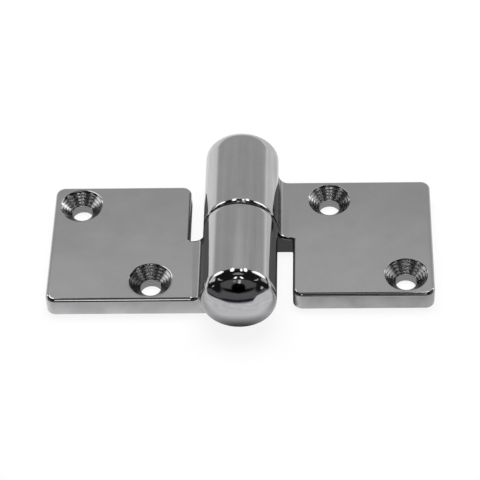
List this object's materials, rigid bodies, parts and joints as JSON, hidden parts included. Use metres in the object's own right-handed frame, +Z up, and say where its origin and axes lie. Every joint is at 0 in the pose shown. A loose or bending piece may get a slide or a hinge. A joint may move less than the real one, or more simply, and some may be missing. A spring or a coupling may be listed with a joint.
{
  "type": "lift-off hinge",
  "caption": "Polished cast lift-off hinge: L-shaped countersunk leaves with domed knuckles on a plain pin; the door leaf swings and slides off the frame leaf.",
  "frame": {"origin": "under the middle of the barrel, on the plane of the screwed-down backs, with the hinge open and flat", "axes": "+X from the frame leaf to the door leaf, +Y along the barrel the way the door leaf lifts off, +Z up from the backs"},
  "size_m": [0.1, 0.0594, 0.0193],
  "materials": {
    "polished_casting": "cast stainless steel, mirror polished",
    "ground_pin": "stainless steel, ground"
  },
  "bodies": {
    "frame_leaf": {"frame_leaf": "polished_casting"},
    "hinge_pin": {"hinge_pin": "ground_pin"},
    "door_leaf": {"door_leaf": "polished_casting"}
  },
  "joints": [
    {"name": "swing", "type": "hinge", "parent": "frame_leaf", "child": "hinge_pin", "pos_m": [0, 0, 0.0096], "axis": [0, -1, 0], "range_deg": [-108, 189]},
    {"name": "lift_off", "type": "slide", "parent": "hinge_pin", "child": "door_leaf", "axis": [0, 1, 0], "range_m": [0, 0.024]}
  ]
}
